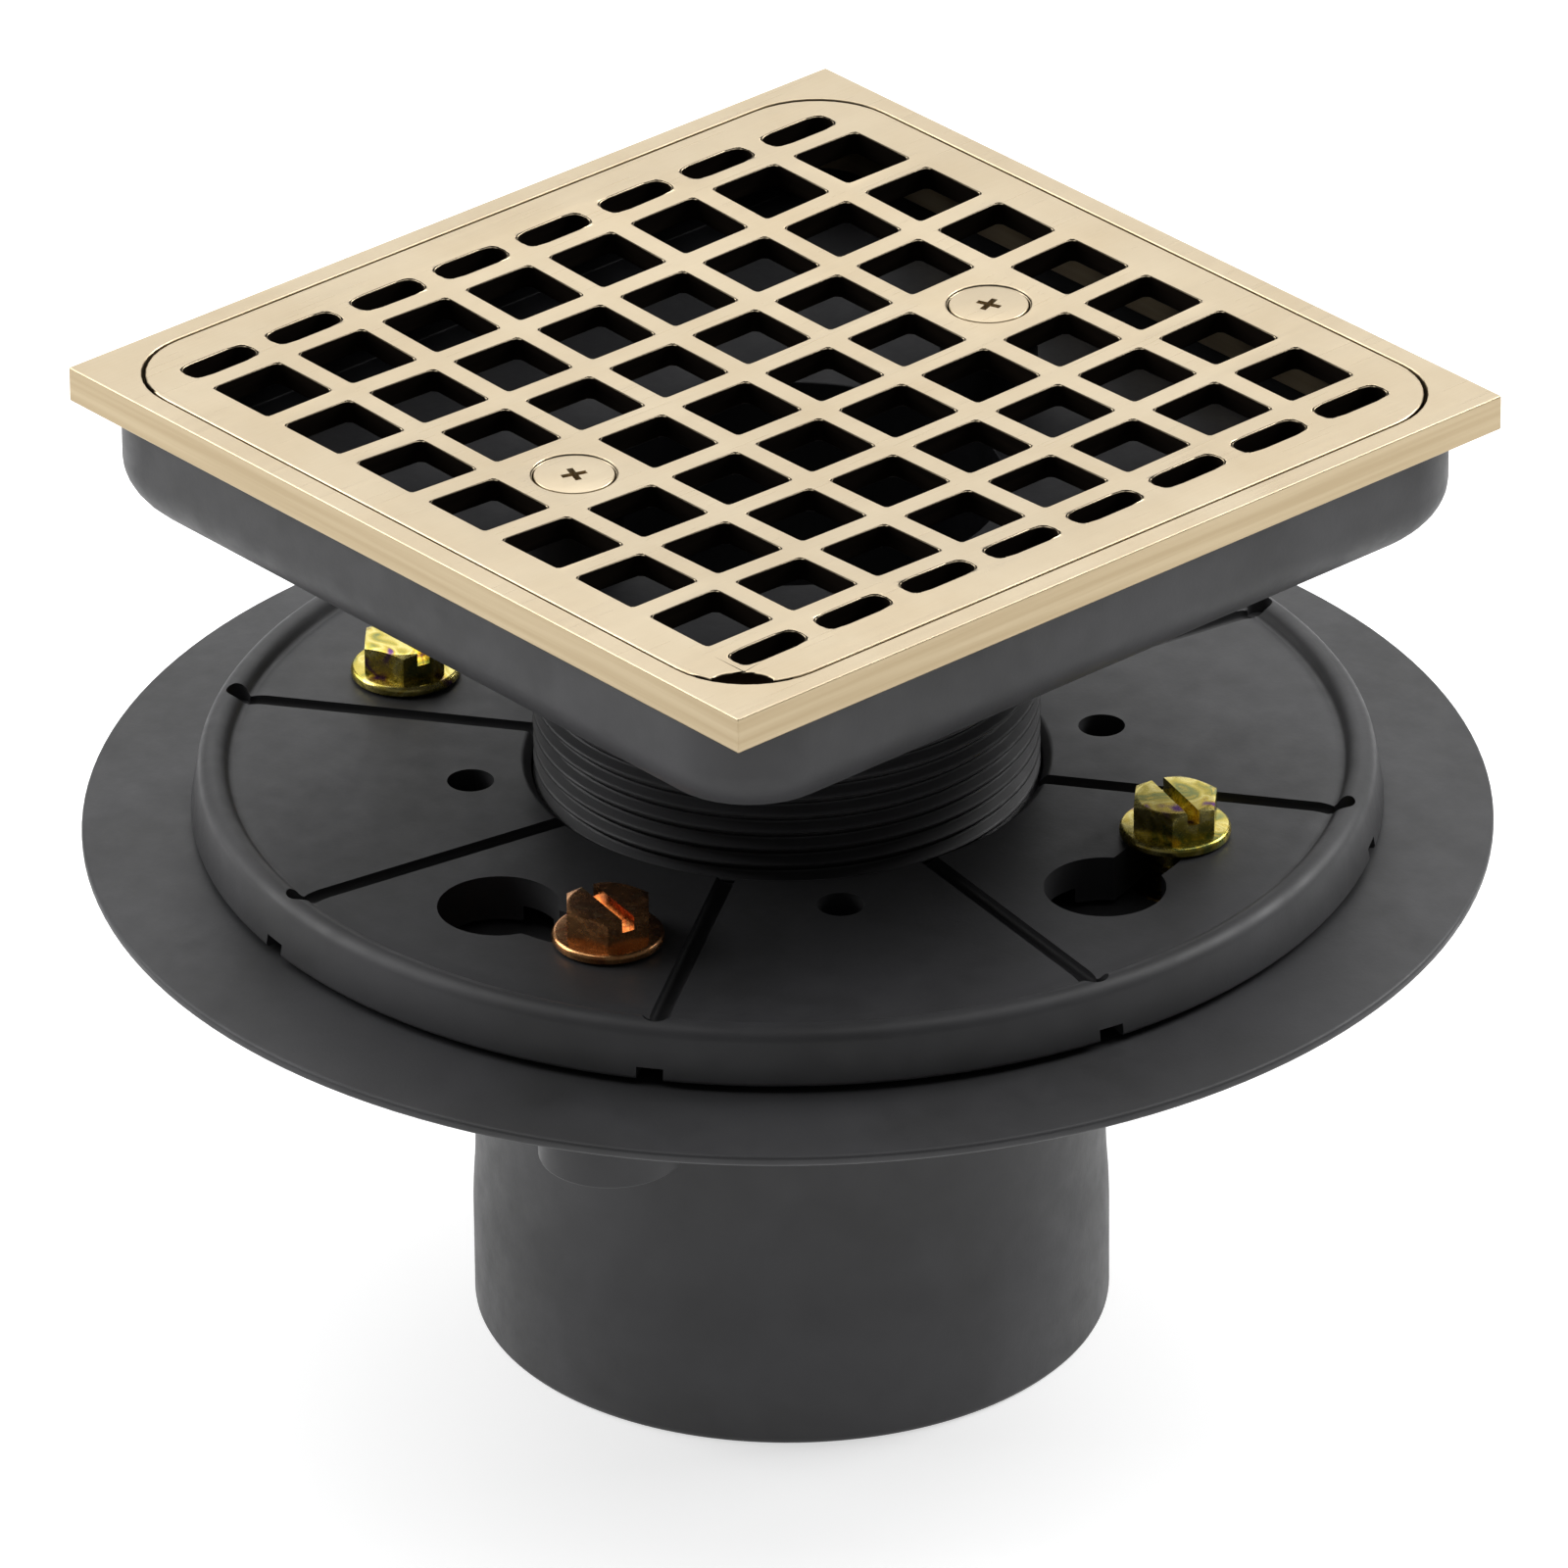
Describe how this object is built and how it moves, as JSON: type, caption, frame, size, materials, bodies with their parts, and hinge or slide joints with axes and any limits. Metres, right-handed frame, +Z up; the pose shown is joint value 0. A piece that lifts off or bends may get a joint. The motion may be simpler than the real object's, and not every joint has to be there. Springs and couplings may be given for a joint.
{
  "type": "floor drain grate",
  "caption": "Adjustable floor drain: square dished metal grate on a threaded strainer, clamping collar with weep holes, and flanged base with a pipe hub.",
  "frame": {"origin": "centre of the hub's lower end, on the drain's axis", "axes": "+Z up along the drain's axis, out of the grate; +X across the grate's seven squares, +Y along its eight"},
  "size_m": [0.168, 0.168, 0.1224],
  "materials": {
    "charcoal_abs": "fine moulded texture, dark charcoal",
    "nickel_bronze": "satin cast nickel bronze, pale warm",
    "yellow_zinc": "yellow chromated zinc on steel, glossy",
    "insert_brass": "turned brass"
  },
  "bodies": {
    "base": {"drain_base": "charcoal_abs", "bolt_insert_1": "insert_brass", "bolt_insert_2": "insert_brass", "bolt_insert_3": "insert_brass", "bolt_insert_4": "insert_brass"},
    "collar": {"clamping_collar": "charcoal_abs"},
    "strainer": {"strainer_body": "charcoal_abs", "strainer_frame": "nickel_bronze", "screw_insert_1": "insert_brass", "screw_insert_2": "insert_brass"},
    "grate": {"grate": "nickel_bronze"},
    "grate_screw_1": {"grate_screw_1": "nickel_bronze"},
    "grate_screw_2": {"grate_screw_2": "nickel_bronze"},
    "collar_bolt_1": {"collar_bolt_1": "yellow_zinc"},
    "collar_bolt_2": {"collar_bolt_2": "yellow_zinc"},
    "collar_bolt_3": {"collar_bolt_3": "yellow_zinc"},
    "collar_bolt_4": {"collar_bolt_4": "yellow_zinc"}
  },
  "joints": [
    {"name": "collar_turn", "type": "hinge", "parent": "base", "child": "collar", "pos_m": [0, 0, 0.07], "axis": [0, 0, 1], "range_deg": [0, 17.7]},
    {"name": "strainer_height", "type": "slide", "parent": "collar", "child": "strainer", "axis": [0, 0, 1], "range_m": [-0.024, 0.012]},
    {"name": "grate_lift", "type": "slide", "parent": "strainer", "child": "grate", "axis": [0, 0, 1], "range_m": [0, 0.02]},
    {"name": "grate_screw_1_turn", "type": "hinge", "parent": "grate", "child": "grate_screw_1", "pos_m": [0, -0.0325, 0.1214], "axis": [0, 0, 1], "continuous": true},
    {"name": "grate_screw_2_turn", "type": "hinge", "parent": "grate", "child": "grate_screw_2", "pos_m": [0, 0.0325, 0.1214], "axis": [0, 0, 1], "continuous": true},
    {"name": "collar_bolt_1_turn", "type": "hinge", "parent": "base", "child": "collar_bolt_1", "pos_m": [0.04586, 0.02042, 0.0732], "axis": [0, 0, 1], "continuous": true},
    {"name": "collar_bolt_2_turn", "type": "hinge", "parent": "base", "child": "collar_bolt_2", "pos_m": [-0.02042, 0.04586, 0.0732], "axis": [0, 0, 1], "continuous": true},
    {"name": "collar_bolt_3_turn", "type": "hinge", "parent": "base", "child": "collar_bolt_3", "pos_m": [-0.04586, -0.02042, 0.0732], "axis": [0, 0, 1], "continuous": true},
    {"name": "collar_bolt_4_turn", "type": "hinge", "parent": "base", "child": "collar_bolt_4", "pos_m": [0.02042, -0.04586, 0.0732], "axis": [0, 0, 1], "continuous": true}
  ]
}
